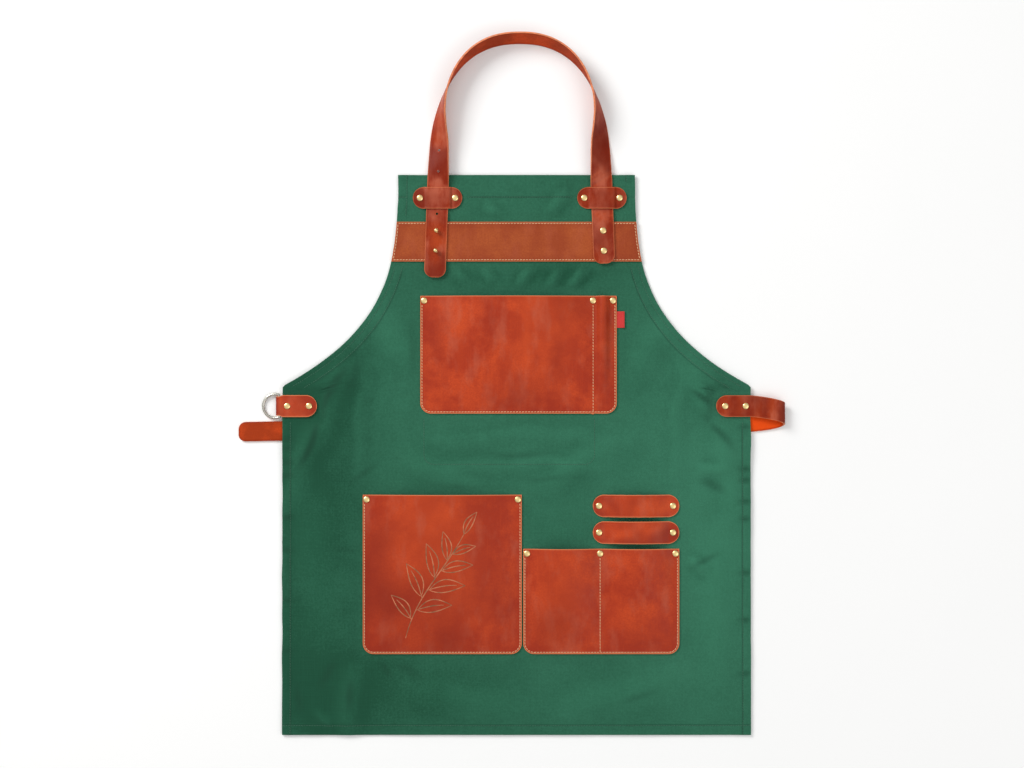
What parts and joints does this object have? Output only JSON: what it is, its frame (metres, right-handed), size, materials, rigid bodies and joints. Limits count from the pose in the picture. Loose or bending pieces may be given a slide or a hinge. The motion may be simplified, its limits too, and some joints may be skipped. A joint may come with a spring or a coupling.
{
  "type": "gardening apron",
  "caption": "Canvas work apron with leather chest band, pockets, tool loops, riveted neck strap, waist strap and ring, lying face up.",
  "frame": {"origin": "the underside of the waist strap behind the middle of the waist, on the surface that the apron lies on", "axes": "+Y up the apron to the neck, +Z out of its front, +X to the right of someone who looks at its front"},
  "size_m": [0.7638, 0.979, 0.0302],
  "materials": {
    "green_canvas": "dyed cotton canvas, plain weave, stitched hems",
    "band_leather": "smooth brown leather, stitched round its edge",
    "pocket_leather": "waxy pull-up leather with lighter creases and raw edges",
    "strap_leather": "thick strap leather, creased borders, flesh side lighter",
    "red_label": "woven cloth label, plain red",
    "nickel_plate": "polished nickel-plated wire",
    "brass": "polished brass caps, a little tarnished"
  },
  "bodies": {
    "apron": {"canvas_body": "green_canvas", "chest_band": "band_leather", "chest_pocket": "pocket_leather", "tall_pocket": "pocket_leather", "twin_pocket": "pocket_leather", "upper_tool_loop": "pocket_leather", "lower_tool_loop": "pocket_leather", "left_keeper": "strap_leather", "right_keeper": "strap_leather", "neck_strap": "strap_leather", "waist_strap": "strap_leather", "ring_tab": "strap_leather", "side_label": "red_label", "neck_stud_1": "brass", "neck_stud_2": "brass", "neck_rivet_1": "brass", "neck_rivet_2": "brass", "left_keeper_rivet_1": "brass", "left_keeper_rivet_2": "brass", "right_keeper_rivet_1": "brass", "right_keeper_rivet_2": "brass", "chest_pocket_rivet_1": "brass", "chest_pocket_rivet_2": "brass", "chest_pocket_rivet_3": "brass", "tall_pocket_rivet_1": "brass", "tall_pocket_rivet_2": "brass", "twin_pocket_rivet_1": "brass", "twin_pocket_rivet_2": "brass", "twin_pocket_rivet_3": "brass", "upper_tool_loop_rivet_1": "brass", "upper_tool_loop_rivet_2": "brass", "lower_tool_loop_rivet_1": "brass", "lower_tool_loop_rivet_2": "brass", "waist_strap_rivet_1": "brass", "waist_strap_rivet_2": "brass", "ring_tab_rivet_1": "brass", "ring_tab_rivet_2": "brass"},
    "ring": {"d_ring": "nickel_plate"}
  },
  "joints": [
    {"name": "ring_swing", "type": "hinge", "parent": "apron", "child": "ring", "pos_m": [-0.332, 0.028, 0.00445], "axis": [0, 1, 0], "range_deg": [0, 105]}
  ]
}
